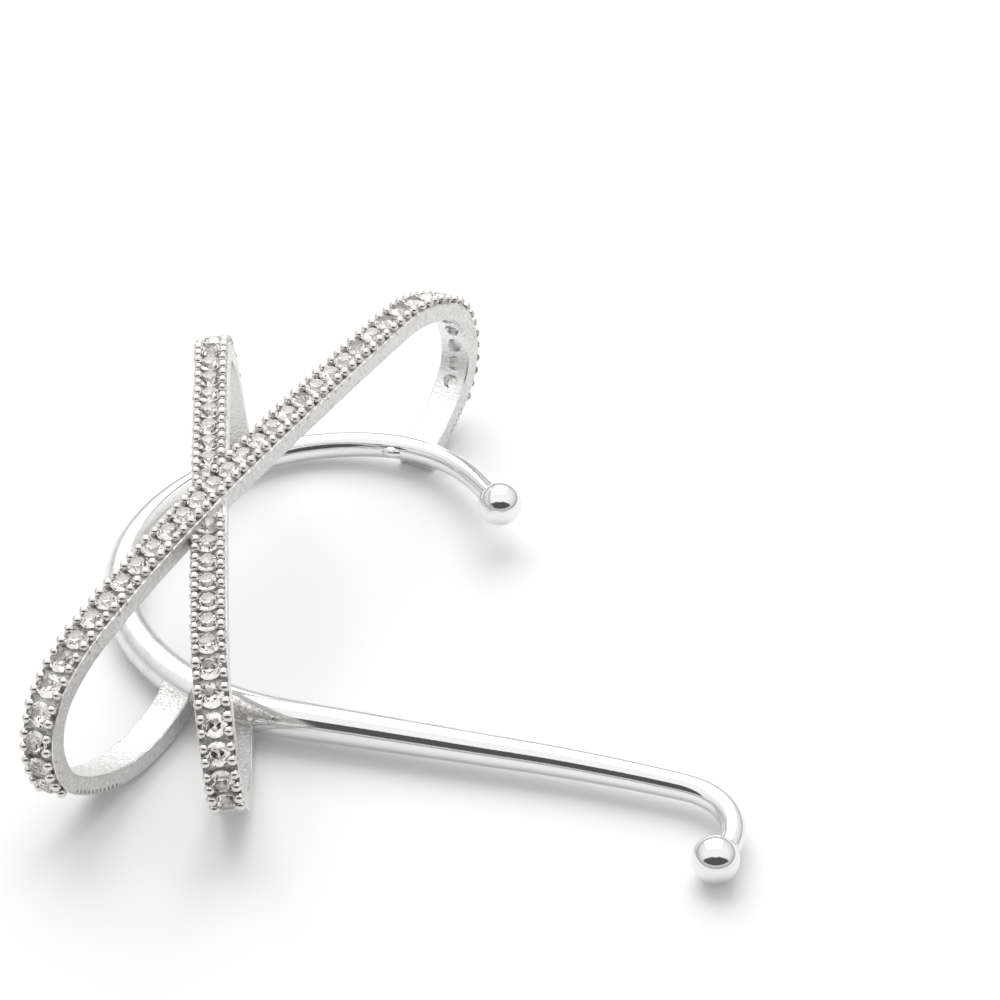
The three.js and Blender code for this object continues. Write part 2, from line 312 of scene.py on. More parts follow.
def planeRun(heading, arcs):
    # Point and heading on a run of (length, radius) arcs, radius 0 for a straight one: the
    # heading grows by distance / radius, and the point is the arc's start plus
    # radius * (sine and minus cosine of the new heading, less those of the old one).
    starts, x, y, h, s = [], 0.0, 0.0, heading, 0.0
    for length, radius in arcs:
        turn = 1.0 / radius if radius else 0.0
        starts.append((x, y, h, s, turn))
        if turn:
            x += (np.sin(h + turn * length) - np.sin(h)) / turn
            y -= (np.cos(h + turn * length) - np.cos(h)) / turn
        else:
            x, y = x + length * np.cos(h), y + length * np.sin(h)
        h, s = h + turn * length, s + length
    x0, y0, h0, s0, turns = (np.array(column) for column in zip(*starts))

    def at(distance):
        i = np.clip(np.searchsorted(s0, distance, side="right") - 1, 0, len(s0) - 1)
        d, k = distance - s0[i], turns[i]
        straight = np.abs(k) < leastTurn
        safe = np.where(straight, 1.0, k)
        now = h0[i] + k * d
        dx = np.where(straight, d * np.cos(h0[i]), (np.sin(now) - np.sin(h0[i])) / safe)
        dy = np.where(straight, d * np.sin(h0[i]), (np.cos(h0[i]) - np.cos(now)) / safe)
        return x0[i] + dx, y0[i] + dy, now

    return at, s


# metals and stones
# Grains are (size in millimetres, detail) of a noise, and depths of bumps are millimetres.
polishedLook = {
    "clean": grey(0.86, 0.003),
    "worn": grey(0.68, 0.006),
    "cloud": (2.5, 2.0),
    "wear": (0.9, 5.0),
    "hairlines": (0.05, 4.0, (1.0, 0.12, 1.0)),  # stretched along Y
    "depth": 0.012,
}
bandLook = {
    "clean": grey(0.83, 0.003),
    "mottled": grey(0.64, 0.008),
    # painted shade: the dark grey painted into the notches of the fine ticks
    "grooveShade": grey(0.12, 0.01),
    "grain": (0.16, 5.0),
    "mottle": (0.22, 5.0),
    "cloud": (1.3, 3.0),
    "depth": 0.09,
}
prongLook = {
    "head": (0.79, 0.765, 0.735),
    # painted shade: the darker, browner tone at the prongs' feet
    "foot": (0.5, 0.455, 0.41),
    "cloud": (0.5, 2.0),
    "depth": 0.02,
}
solderLook = {
    "tones": [(0.3, grey(0.5, 0.012)), (0.7, grey(0.72, 0.008))],
    "coarse": (0.25, 5.0),
    "fine": (0.1, 3.0),
    "depth": 0.16,
}
stoneLook = {
    "tones": [(0.35, (0.93, 0.91, 0.885)), (0.65, (1.0, 0.988, 0.97))],
    "cloud": (1.1, 1.0),
    "roughness": 0.03,
    "ior": 2.0,
}


def polishedMetal():
    # Attribute brushed: 1 where the wire is duller, round its thick middle. The worn tone's
    # share is brushed * (1.8 wear - 0.4).
    s = Shader("polished_white_metal")
    look = polishedLook
    brushed = s.attribute("brushed")
    cloud = s.noise(*look["cloud"])
    wear = s.noise(*look["wear"])
    hairlines = s.noise(*look["hairlines"])
    s.set(
        base_color=s.mix(brushed * (1.8 * wear - 0.4), look["clean"], look["worn"]),
        metallic=1.0,
        roughness=0.035 + 0.05 * cloud + 0.03 * hairlines + 0.2 * brushed,
        normal=s.bump(hairlines * (0.2 + brushed), 0.6, look["depth"]),
    )
    return s.material


def bandMetal():
    # Attribute satin: 1 on the grainy side walls, 0 on the polished edges. Attribute
    # pitted: 1 where solder has run along the strip. The third attribute is 1 in the fine
    # ticks, where a dark grey is painted in as painted shade in their notches.
    # The mottled tone's share is (satin + pitted) * (2.8 mottle - 0.9).
    s = Shader("band_white_metal")
    look = bandLook
    satin = s.attribute("satin")
    pitted = s.attribute("pitted")
    grain = s.noise(*look["grain"])
    mottle = s.noise(*look["mottle"])
    cloud = s.noise(*look["cloud"])
    shade = s.mix((satin + pitted) * (2.8 * mottle - 0.9), look["clean"], look["mottled"])
    s.set(
        base_color=s.mix(s.attribute("grooveShade"), shade, look["grooveShade"]),
        metallic=1.0,
        roughness=0.1 + 0.26 * satin + 0.08 * cloud,
        normal=s.bump(grain * (0.1 + satin + 2.0 * pitted), 1.0, look["depth"]),
    )
    return s.material


def prongMetal():
    # Attribute foot: 1 at a prong's foot, where the metal is duller, and darker and browner
    # as painted shade where it meets the strip. The foot tone's share is foot * (1 + cloud) / 2.
    s = Shader("prong_white_metal")
    look = prongLook
    foot = s.attribute("foot")
    cloud = s.noise(*look["cloud"])
    s.set(
        base_color=s.mix(foot * (0.5 + 0.5 * cloud), look["head"], look["foot"]),
        metallic=1.0,
        roughness=0.09 + 0.16 * foot + 0.05 * cloud,
        normal=s.bump(cloud, 0.15, look["depth"]),
    )
    return s.material


def solderMetal():
    # Tone and roughness by a coarse grain; the bump is coarse + half of fine.
    s = Shader("grainy_solder")
    look = solderLook
    coarse = s.noise(*look["coarse"])
    fine = s.noise(*look["fine"])
    s.set(
        base_color=s.ramp(coarse, look["tones"]),
        metallic=1.0,
        roughness=0.3 + 0.25 * coarse,
        normal=s.bump(coarse + 0.5 * fine, 1.0, look["depth"]),
    )
    return s.material


def clearStone():
    # Clear all through, its tint by a soft cloud.
    s = Shader("clear_stone")
    look = stoneLook
    s.set(
        base_color=s.ramp(s.noise(*look["cloud"]), look["tones"]),
        roughness=look["roughness"],
        ior=look["ior"],
        transmission_weight=1.0,
    )
    return s.material


polished = polishedMetal()
banded = bandMetal()
pronged = prongMetal()
soldered = solderMetal()
clear = clearStone()
print("materials made")

# ear wire and its balls
earWire = {
    "start": (9.5, 7.35),  # centre of the short end's ball
    "heading": 122.0,
    "arcs": [(2.6, 0), (7.2, 7.7), (14.9, 14.0), (24.7, 12.8), (14.0, 0), (9.4, -90.0), (7.2, -3.5)],
    "rise": (2.0, 16.0, 1.3),  # height of the short end, over this length, leaning back
    "thickest": 1.15,
    "taper": [
        (0.0, 0.53), (0.14, 0.67), (0.29, 0.74), (0.43, 0.88),
        (0.57, 1.0), (0.71, 0.87), (0.86, 0.72), (1.0, 0.58),
    ],
    "sides": 56,
    "step": 0.16,
    "pathPoints": 1601,  # on the smoothed middle line
    "softening": 9,  # reach of the smoothing, in those points
    "wobble": 0.006,  # hand-polished unevenness, share of the radius
    "waves": [(0.33, 1), (0.71, 2), (1.13, 1)],  # radians per millimetre, and waves round it
    "brushed": (0.3, 0.58, 0.07),  # duller between these shares of the length, and the fade
}
balls = {
    "shortRadius": 1.3,
    "hookRadius": 1.35,
    "neck": 0.16,  # radius of the hollow where the ball meets the wire
    "lift": 0.01,  # the neck ends this much outside the wire
    "tail": (0.25, 0.7),  # its run inside the wire, and its share of the radius
    "sides": 64,
    "rings": 32,
    "neckRings": 9,
}
anyPhase = 6.28  # random waves start anywhere in a turn

wireRun, wireLength = planeRun(np.radians(earWire["heading"]), earWire["arcs"])


def wireCentre(s):
    # The flat run, plus a short end that rises with the square of what is left to the end.
    x, y, h = wireRun(s)
    height, length, lean = earWire["rise"]
    z = height * np.maximum(0.0, 1.0 - s / length) ** 2
    return np.stack([earWire["start"][0] + x, earWire["start"][1] + y - lean * z, z], -1)


def softened(values, reach):
    # Each row averaged with its neighbours by a bell curve; the two ends stay where they are.
    k = np.arange(-3 * reach, 3 * reach + 1)
    bell = np.exp(-0.5 * (k / reach) ** 2)
    bell /= bell.sum()
    before = 2 * values[0] - values[3 * reach : 0 : -1]
    after = 2 * values[-1] - values[-2 : -3 * reach - 2 : -1]
    padded = np.concatenate([before, values, after])
    return np.stack([np.convolve(padded[:, c], bell, "valid") for c in range(values.shape[1])], -1)


def wireFrames(s):
    # Centre, direction, and two directions square to it at the distances s.
    fine = np.linspace(0.0, wireLength, earWire["pathPoints"])
    path = softened(wireCentre(fine), earWire["softening"])
    slope = np.gradient(path, fine, axis=0)
    centre, along = (
        np.stack([np.interp(s, fine, column) for column in rows.T], -1) for rows in (path, slope)
    )
    along = unit(along)
    side = unit(np.cross(np.array([0.0, 0.0, 1.0]), along))
    return centre, along, side, np.cross(along, side)


def wireRadius(s):
    # The taper table, smoothed by a cubic through its points with even end slopes.
    share, size = np.array(earWire["taper"]).T
    slope = np.gradient(size, share)
    t = s / wireLength
    i = np.clip(np.searchsorted(share, t, side="right") - 1, 0, len(share) - 2)
    width = share[i + 1] - share[i]
    u = (t - share[i]) / width
    value = (
        (2 * u**3 - 3 * u**2 + 1) * size[i]
        + (u**3 - 2 * u**2 + u) * width * slope[i]
        + (3 * u**2 - 2 * u**3) * size[i + 1]
        + (u**3 - u**2) * width * slope[i + 1]
    )
    return earWire["thickest"] * value


def makeWire():
    # A tube of the tapering radius, uneven by a few slow waves.
    s = np.linspace(0.0, wireLength, int(wireLength / earWire["step"]))
    a = circle(earWire["sides"])
    centre, _, side, top = wireFrames(s)
    phases = rng.uniform(0, anyPhase, len(earWire["waves"]))
    waves = sum(
        np.sin(s[:, None] * f + phase + n * a[None]) for (f, n), phase in zip(earWire["waves"], phases)
    )
    radius = wireRadius(s)[:, None] * (1.0 + earWire["wobble"] * waves / len(earWire["waves"]))
    share = s / wireLength
    start, end, fade = earWire["brushed"]
    brushed = smoothStep((share - start) / fade) * smoothStep((end - share) / fade)
    grid = tubeGrid(centre, radius, side, top)
    wire = addTube("ear_wire", grid, {"brushed": np.repeat(brushed[:, None], len(a), 1)})
    finishPiece(wire, polished, "polished_metal", "cuff_frame")


def makeBall(name, s, direction, radius):
    # Surface of revolution round the wire's end: a sphere from its far pole to where a
    # small hollow arc takes over and runs down to the wire.
    centre, along, side, top = wireFrames(np.array([s]))
    axis = along * direction
    wire = wireRadius(np.array([s]))[0] + balls["lift"]
    neck = balls["neck"]
    # The neck's circle touches the sphere and the wire: its centre is neck + wire from the axis.
    reach = np.sqrt((radius + neck) ** 2 - (wire + neck) ** 2)
    meet = np.arctan2(wire + neck, -reach)
    polar = np.linspace(0.0, meet, balls["rings"])
    ballX, ballR = radius * np.cos(polar), radius * np.sin(polar)
    turn = np.linspace(meet - np.pi, -np.pi / 2, balls["neckRings"])[1:]
    neckX = -reach + neck * np.cos(turn)
    neckR = wire + neck + neck * np.sin(turn)
    tailLength, tailShare = balls["tail"]
    x = np.concatenate([ballX[1:], neckX, [-reach - tailLength]])
    r = np.concatenate([ballR[1:], neckR, [wire * tailShare]])
    around = np.repeat(r[:, None], balls["sides"], 1)
    grid = tubeGrid(centre + x[:, None] * axis, around, side, top)
    finishPiece(addTube(name, grid), polished, "polished_metal")


makeWire()
makeBall("short_end_ball", 0.0, -1.0, balls["shortRadius"])
makeBall("hook_ball", wireLength, 1.0, balls["hookRadius"])
print("ear wire and balls made")

# bands
# Arcs, as (length, radius), run from the middle of the front: front, shoulder, end loop,
# return to the wire. Azimuth and lean are in degrees.
longBand = {
    "middle": (-5.37, -2.49, 9.2),
    "azimuth": -119.9,
    "lean": 6.9,
    "upper": [(16.8, 500), (5.5, 9.6), (5.65, 3.07), (5.2908, 9.824)],
    "lower": [(15.25, 110), (3.75, 10.9), (6.15, 3.1), (11.825, 10.5076)],
    "upperReach": 28.9,  # stones reach this far from the middle of the front
    "lowerReach": 24.8,
    "comb": (2.0, 4.6),  # length of the fine ticks beyond the upper and lower stones
    "pitted": 0.15,  # how rough the solder left the inner face at the lower end
    "pittedReach": 3.0,  # how far up from that end
}
shortBand = {
    "middle": (-7.0, -3.6, 8.75),
    "azimuth": -87.7,
    "lean": 7.1,
    "upper": [(11.2, 900), (2.0, 8.9), (3.75, 3.1), (6.0736, 11.5816)],
    "lower": [(12.6, 100), (6.25, 6.15), (5.05, 3.0), (7.6365, 14.669)],
    "upperReach": 18.5,
    "lowerReach": 22.0,
    "comb": (0.0, 0.0),
    "pitted": 1.0,
    "pittedReach": 9.0,
}
strip = {
    "width": 2.0,
    "wall": 1.1,
    "edge": 0.07,  # rounding of the long edges
    "edgeTurns": [22.5, 45.0, 67.5],
    "innerPoints": 21,
    "outerPoints": 31,
    "wallPoints": 4,
    "fineStep": 0.056,  # between rings under the stones, in the ticks, and elsewhere
    "combStep": 0.04,
    "plainStep": 0.16,
    "tablePoints": 4001,  # in the table of outer distances
    "flare": 0.2,  # growth of the section at the wire
    "flareReach": 0.28,
    "flareEnd": 0.75,  # the growth is full up to here from each end
    "flareAcross": 0.6,  # share of the growth that goes into the width
    "seatRadius": 0.6,
    "seatDepth": 0.46,
    "rowFade": 0.12,  # over which the relief starts
    "bridgeDrop": 0.07,
    "bridgeFade": 0.06,
    "railWidth": 0.2,
    "notchDepth": 0.2,
    "notchWidth": 0.12,
    "notchReach": (0.55, 0.95),  # from and to, away from the strip's middle
    "notchFade": (0.1, 0.05),
    "azureRadius": 0.42,  # the holes under the stones
    "azureDepth": 0.34,
    "azureFade": 0.1,
    "combPitch": 0.4,
    "combDepth": 0.24,
    "combFade": 0.1,
    "grooveShadeAbove": 0.8,  # the ticks' painted shade darkens what lies over this share of the wall
    "waveDepth": 0.006,  # unevenness of the side walls
    "waves": (0.9, 2.3, 4.1),  # radians per millimetre, along and up the wall
    "waveClimb": 3,
    "satinWall": 1.0,
    "satinInside": (1.0, 0.35),  # in the lower and the upper half
    "satinFace": 0.9,
    "pittedFade": 1.5,
    "sharpAngle": 40.0,
}
stone = {
    "diameter": 1.3,
    "spread": 1.1,  # shown this much wider, to fill the row
    "pitch": 1.57,
    "table": 0.56,  # radius as a share of the girdle's
    "star": (0.8, 0.56),  # radius and height as shares of the girdle's and the crown's
    "lower": (0.42, 0.6),  # the same below the girdle
    "crown": 0.3,
    "girdle": 0.12,  # height over the wall
    "girdleHalf": 0.02,  # half its thickness
    "pavilion": 0.5,
    "tip": 0.035,  # spread of the random tilt
}
prong = {
    "along": 0.4,  # from the stone's middle
    "across": 0.76,
    "foot": 0.2,  # radii of the stem's foot and neck, and of the bead on it
    "neck": 0.25,
    "head": 0.3,
    "height": 0.5,
    "stem": (-0.3, 0.02, 0.16),  # heights of its rings
    "bead": (118, 14, 7),  # first and last ring in degrees from its top, and how many
    "footShadeFade": 0.55,  # share of the height over which the foot's painted shade fades
    "lean": 9.0,  # degrees over the stone
    "leanAhead": 0.5,  # share of the lean that goes along the band
    "spreads": (5, 0.05, 0.06, 0.03),  # random part of the lean, drift, width and height
    "sides": 12,
}
crossing = {
    "reach": 12,  # looked for this far from the middles, in these steps
    "step": 0.05,
    "clear": 0.1,  # room beside the long band
    "swallowed": 0.5,  # prongs nearer to it than this share of their head are left out
}


class Band:
    # A band's run in its own leaning plane, with the frame at any distance along it.
    def __init__(self, values):
        # The plane holds the front's heading, and leans about it by the given angle.
        az, lean = np.radians(values["azimuth"]), np.radians(values["lean"])
        self.first = np.array([np.cos(az), np.sin(az), 0.0])
        self.across = np.array([-np.sin(az) * np.cos(lean), np.cos(az) * np.cos(lean), np.sin(lean)])
        second = np.cross(self.first, self.across)
        self.second = second if second[2] > 0 else -second
        self.origin = np.array(values["middle"])
        self.lower, lowerLength = planeRun(0.0, [(n, -r) for n, r in values["lower"]])
        self.upper, self.middle = planeRun(0.0, [(n, -r) for n, r in values["upper"]])
        self.length = self.middle + lowerLength
        self.values = values
        self.table = np.linspace(0, self.length, strip["tablePoints"])
        self.outerTable = self.outer(self.table)

    def flat(self, s):
        # Lower half as it runs; the upper half is a run of its own, mirrored.
        s = np.asarray(s, float)
        low = s >= self.middle
        xl, yl, hl = self.lower(np.maximum(s - self.middle, 0.0))
        xu, yu, hu = self.upper(np.maximum(self.middle - s, 0.0))
        return np.where(low, xl, -xu), np.where(low, yl, yu), np.where(low, hl, -hu)

    def outer(self, s):
        # Distance along the outer face from the middle of the front: the wall adds its
        # thickness times the turn.
        return s - self.middle - strip["wall"] * self.flat(s)[2]

    def fromOuter(self, distance):
        # The way back from a distance along the outer face, read off a table.
        return np.interp(distance, self.outerTable, self.table)

    def reached(self):
        # Where along the run its row of stones starts and ends.
        return self.middle - self.values["upperReach"], self.middle + self.values["lowerReach"]

    def frame(self, s):
        # Point origin + x * first + y * second; along and out are those two, turned by h.
        x, y, h = self.flat(s)
        e1, e2 = self.first, self.second
        point = self.origin + x[..., None] * e1 + y[..., None] * e2
        along = np.cos(h)[..., None] * e1 + np.sin(h)[..., None] * e2
        out = np.cos(h)[..., None] * e2 - np.sin(h)[..., None] * e1
        return point, along, out


longRun, shortRun = Band(longBand), Band(shortBand)


def stoneCentres(run, start, end):
    # Distances along the outer face: as many as fit at the pitch, centred in the stretch.
    start, end = run.outer(start), run.outer(end)
    count = int((end - start) / stone["pitch"])
    margin = (end - start - (count - 1) * stone["pitch"]) / 2
    return start + margin + stone["pitch"] * np.arange(count)


def crossingOf(under, over):
    # Distance along the lower band to where the middle lines are nearest, seen from above.
    reach, step = crossing["reach"], crossing["step"]
    a = np.arange(under.middle - reach, under.middle + reach, step)
    b = np.arange(over.middle - reach, over.middle + reach, step)
    gap = np.linalg.norm(under.frame(a)[0][:, None, :2] - over.frame(b)[0][None, :, :2], axis=-1)
    return a[np.unravel_index(gap.argmin(), gap.shape)[0]]


shortCross = crossingOf(shortRun, longRun)
crossAngle = np.radians(abs(longBand["azimuth"] - shortBand["azimuth"]))
stoneClear = (strip["width"] / 2 + stone["diameter"] / 2 + crossing["clear"]) / np.sin(crossAngle)
half = stone["pitch"] / 2
longStart, longEnd = longRun.reached()
shortStart, shortEnd = shortRun.reached()
longStones = stoneCentres(longRun, longStart, longEnd)
shortBack = stoneCentres(shortRun, shortStart, shortCross - stoneClear + half)
shortFront = stoneCentres(shortRun, shortCross + stoneClear - half, shortEnd)
# One more stone on either side is half hidden by the long band.
shortBack = np.append(shortBack, shortBack[-1] + stone["pitch"])
shortFront = np.append(shortFront[0] - stone["pitch"], shortFront)


def sectionOf():
    # The strip's outline, in order round it: distance across, height, and which face:
    # 0 inner face, 1 rounded edge, 2 side wall, 3 outer face.
    w, h, e = strip["width"] / 2, strip["wall"], strip["edge"]
    turn = np.radians(strip["edgeTurns"])
    inner = np.linspace(-(w - e), w - e, strip["innerPoints"])
    outer = np.linspace(w - e, -(w - e), strip["outerPoints"])
    wall = np.linspace(e, h - e, strip["wallPoints"])
    cornerOut, cornerUp = e * np.sin(turn), e * (1 - np.cos(turn))
    side = np.full(len(wall), w)
    a = [inner, w - e + cornerOut, side, (w - e + cornerOut)[::-1]]
    a += [outer, -(w - e + cornerOut), -side, -(w - e + cornerOut)[::-1]]
    z = [0 * inner, cornerUp, wall, h - cornerUp[::-1]]
    z += [h + 0 * outer, h - cornerUp, wall[::-1], cornerUp[::-1]]
    kinds = [0, 1, 2, 1, 3, 1, 2, 1]
    face = [np.full(len(part), kind) for part, kind in zip(a, kinds)]
    return np.concatenate(a), np.concatenate(z), np.concatenate(face)


def fineTicks(s, plainFrom, plainTo, comb):
    # Drop of the ticks beyond the stones: depth * (1 - cos) / 2 along the run, faded at
    # both ends of the stretch that comb gives for the upper and the lower end.
    upper = s < plainFrom
    beyond = np.where(upper, plainFrom - s, s - plainTo)
    left = np.where(upper, comb[0], comb[1]) - beyond
    shown = smoothStep(beyond / strip["combFade"]) * smoothStep(left / strip["combFade"])
    return strip["combDepth"] * shown * (0.5 - 0.5 * np.cos(2 * np.pi * beyond / strip["combPitch"]))


def stripRelief(s, a, centres, plainFrom, plainTo):
    # Drop of the outer face, the greatest of three: a cone under each stone, depth *
    # (1 - r / radius); an even step between the rails; and bell-shaped notches in the
    # rails, beside each stone and halfway between two.
    nearest = centres[np.abs(s[:, None] - centres[None]).argmin(1)]
    away, fade = (s - nearest)[:, None], strip["rowFade"]
    r = np.hypot(away, a[None])
    inRow = smoothStep((s - plainFrom) / fade) * smoothStep((plainTo - s) / fade)
    seat = strip["seatDepth"] * np.clip(1 - r / strip["seatRadius"], 0, 1)
    room = strip["width"] / 2 - strip["railWidth"] - np.abs(a)
    bridge = strip["bridgeDrop"] * smoothStep(room / strip["bridgeFade"])[None]
    notchAt = np.minimum(np.abs(away), np.abs(np.abs(away) - stone["pitch"] / 2))
    (start, end), (fadeIn, fadeOut) = strip["notchReach"], strip["notchFade"]
    onRail = smoothStep((np.abs(a) - start) / fadeIn) * smoothStep((end - np.abs(a)) / fadeOut)
    notch = strip["notchDepth"] * np.exp(-((notchAt / strip["notchWidth"]) ** 2)) * onRail[None]
    return inRow[:, None] * np.maximum(np.maximum(seat, bridge), notch)


def makeStrip(name, run, centres):
    # Flat strip: the section carried along the run, with relief on both wide faces. The
    # inner face is raised by depth * smoothStep((radius - r) / fade) under each stone, and
    # the section grows near the wire by flare * exp(-distance / reach) about its middle.
    values = run.values
    ringGap = 0.01  # between the last fine ring and the next
    plainFrom, plainTo = run.reached()
    fineFrom = plainFrom - values["comb"][0]
    fineTo = plainTo + values["comb"][1]
    s = np.concatenate([
        np.linspace(0, fineFrom, int(fineFrom / strip["plainStep"]) + 2, endpoint=False),
        np.arange(fineFrom, plainFrom, strip["combStep"]),
        np.arange(plainFrom, plainTo, strip["fineStep"]),
        np.arange(plainTo, fineTo - ringGap, strip["combStep"]),
        np.linspace(fineTo, run.length, int((run.length - fineTo) / strip["plainStep"])),
    ])
    a, z, face = sectionOf()
    point, _, out = run.frame(s)
    onTop, onInside, onWall = face == 3, face == 0, face == 2
    height = np.repeat(z[None], len(s), 0)
    reach = [run.outer(plainFrom), run.outer(plainTo)]
    height[:, onTop] -= stripRelief(run.outer(s), a[onTop], centres, *reach)
    ticks = fineTicks(run.outer(s), *reach, values["comb"])
    # Painted shade: the ticks' notches are marked for a dark grey over the upper part of the wall.
    grooveShade = ticks[:, None] / strip["combDepth"] * (height > strip["grooveShadeAbove"] * strip["wall"])
    height = np.minimum(height, strip["wall"] - ticks[:, None])
    under = run.fromOuter(centres)
    nearest = under[np.abs(s[:, None] - under[None]).argmin(1)]
    r = np.hypot((s - nearest)[:, None], a[onInside][None])
    hole = smoothStep((strip["azureRadius"] - r) / strip["azureFade"])
    height[:, onInside] += strip["azureDepth"] * hole
    wide = np.repeat(a[None], len(s), 0)
    waves = sum(
        np.sin(s[:, None] * f + phase + strip["waveClimb"] * z[None, onWall])
        for f, phase in zip(strip["waves"], rng.uniform(0, anyPhase, len(strip["waves"])))
    )
    wide[:, onWall] += strip["waveDepth"] * waves * np.sign(a[onWall])
    ends = np.minimum(s, run.length - s) - strip["flareEnd"]
    grow = 1 + strip["flare"] * np.exp(-np.maximum(ends, 0.0) / strip["flareReach"])
    middle = strip["wall"] / 2
    height = middle + (height - middle) * grow[:, None]
    wide = wide * (1 + (grow[:, None] - 1) * strip["flareAcross"])
    grid = point[:, None] + wide[..., None] * run.across + height[..., None] * out[:, None]
    satin = np.zeros(grid.shape[:2])
    satin[:, onWall] = strip["satinWall"]
    satin[:, onInside] = np.where(s > run.middle, *strip["satinInside"])[:, None]
    satin[:, onTop] = strip["satinFace"]
    left = run.length - s
    runOn = values["pitted"] * smoothStep((values["pittedReach"] - left) / strip["pittedFade"])
    pitted = np.where(onInside[None], runOn[:, None], 0.0)
    shown = {"satin": satin, "pitted": pitted, "grooveShade": grooveShade}
    piece = addTube(name, grid, shown, strip["sharpAngle"])
    finishPiece(piece, banded, "polished_metal")


makeStrip("long_band_strip", longRun, longStones)
makeStrip("short_band_strip", shortRun, np.concatenate([shortBack, shortFront]))
print("bands made")


# stones
def brilliant():
    # Round cut: an octagon table, eight star points, sixteen girdle points, a pavilion of
    # eight and a culet. Each level is a ring: radius, height, number of points, turn.
    wide, half = stone["diameter"] * stone["spread"] / 2, stone["girdleHalf"]
    crown, depth = stone["crown"], stone["pavilion"]
    (starWide, starHigh), (lowWide, lowDeep) = stone["star"], stone["lower"]

    def level(radius, height, count, turn):
        a = 2 * np.pi * (np.arange(count) + turn) / count
        return np.stack([radius * np.cos(a), radius * np.sin(a), np.full(count, height)], -1)

    verts = np.concatenate([
        level(wide * stone["table"], crown, 8, 0.0),
        level(wide * starWide, crown * starHigh, 8, 0.5),
        level(wide, half, 16, 0.0),
        level(wide, -half, 16, 0.0),
        level(wide * lowWide, -depth * lowDeep, 8, 0.5),
        [[0, 0, crown], [0, 0, -depth]],
    ])
    # First vertex of each level; 56 and 57 are the table's middle and the culet.
    t, m, u, l, p = 0, 8, 16, 32, 48
    i = np.arange(8)
    j = (i + 1) % 8
    k = np.arange(16)
    n = (k + 1) % 16
    top, culet = np.full(8, 56), np.full(8, 57)
    odd, even, after = 2 * i + 1, 2 * i, (2 * i + 2) % 16
    faces = np.concatenate([
        np.stack([top, t + i, t + j], -1),
        np.stack([t + i, m + i, t + j], -1),
        np.stack([t + i, u + even, m + i], -1),
        np.stack([m + i, u + after, t + j], -1),
        np.stack([m + i, u + even, u + odd], -1),
        np.stack([m + i, u + odd, u + after], -1),
        np.stack([u + k, l + k, l + n], -1),
        np.stack([u + k, l + n, u + n], -1),
        np.stack([l + even, p + i, l + odd], -1),
        np.stack([l + odd, p + i, l + after], -1),
        np.stack([p + i, l + even, p + (i - 1) % 8], -1),
        np.stack([p + i, p + (i - 1) % 8, culet], -1),
    ])
    return verts, faces


def makeStones(name, run, centres, node):
    # A brilliant at each centre, wall + girdle over the inner face, tipped a little and
    # turned at random.
    verts, faces = brilliant()
    point, along, out = run.frame(run.fromOuter(centres))
    count = len(centres)
    spin = rng.uniform(0, np.pi / 4, count)
    tip = rng.normal(0, stone["tip"], (count, 2))
    across = np.repeat(run.across[None], count, 0)
    up = unit(out + tip[:, :1] * along + tip[:, 1:] * across)
    x = unit(np.cross(across, up))
    y = np.cross(up, x)
    c, s = np.cos(spin)[:, None], np.sin(spin)[:, None]
    axes = np.stack([c * x + s * y, c * y - s * x, up], 1)
    origins = point + (strip["wall"] + stone["girdle"]) * out
    made = copies(verts, origins, axes)
    sets = [copiedFaces(faces, count, len(verts))]
    piece = addMesh(name, toRow(made), sets, None, smooth=False)
    finishPiece(piece, clear, "set_stones", node)


makeStones("long_band_stones", longRun, longStones, "long_stone_row")
makeStones("short_band_back_stones", shortRun, shortBack, "short_stone_row_back")
makeStones("short_band_front_stones", shortRun, shortFront, "short_stone_row_front")


# prongs
def prongShape():
    # Surface of revolution: a tapering stem, and on it a round bead, head * (sine, cosine)
    # of the angle from its top.
    h, head, stem = prong["height"], prong["head"], prong["stem"]
    polar = np.radians(np.linspace(*prong["bead"]))
    z = np.concatenate([stem, h - head + head * np.cos(polar)])
    r = np.concatenate([[prong["foot"], prong["foot"], prong["neck"]], head * np.sin(polar)])
    a = circle(prong["sides"])
    ring = np.stack([np.cos(a), np.sin(a)], -1)
    heights = np.repeat(z[:, None, None], len(a), 1)
    body = np.concatenate([r[:, None, None] * ring[None], heights], -1)
    verts = np.concatenate([body.reshape(-1, 3), [[0, 0, stem[0]], [0, 0, h]]])
    # The last array is 1 at the foot and fades upwards: the mask of the painted shade there.
    sets, footShadeFade = [closedFaces(len(z), len(a)), capFans(len(z), len(a))], h * prong["footShadeFade"]
    return verts, sets, smoothStep((footShadeFade - verts[:, 2]) / footShadeFade)


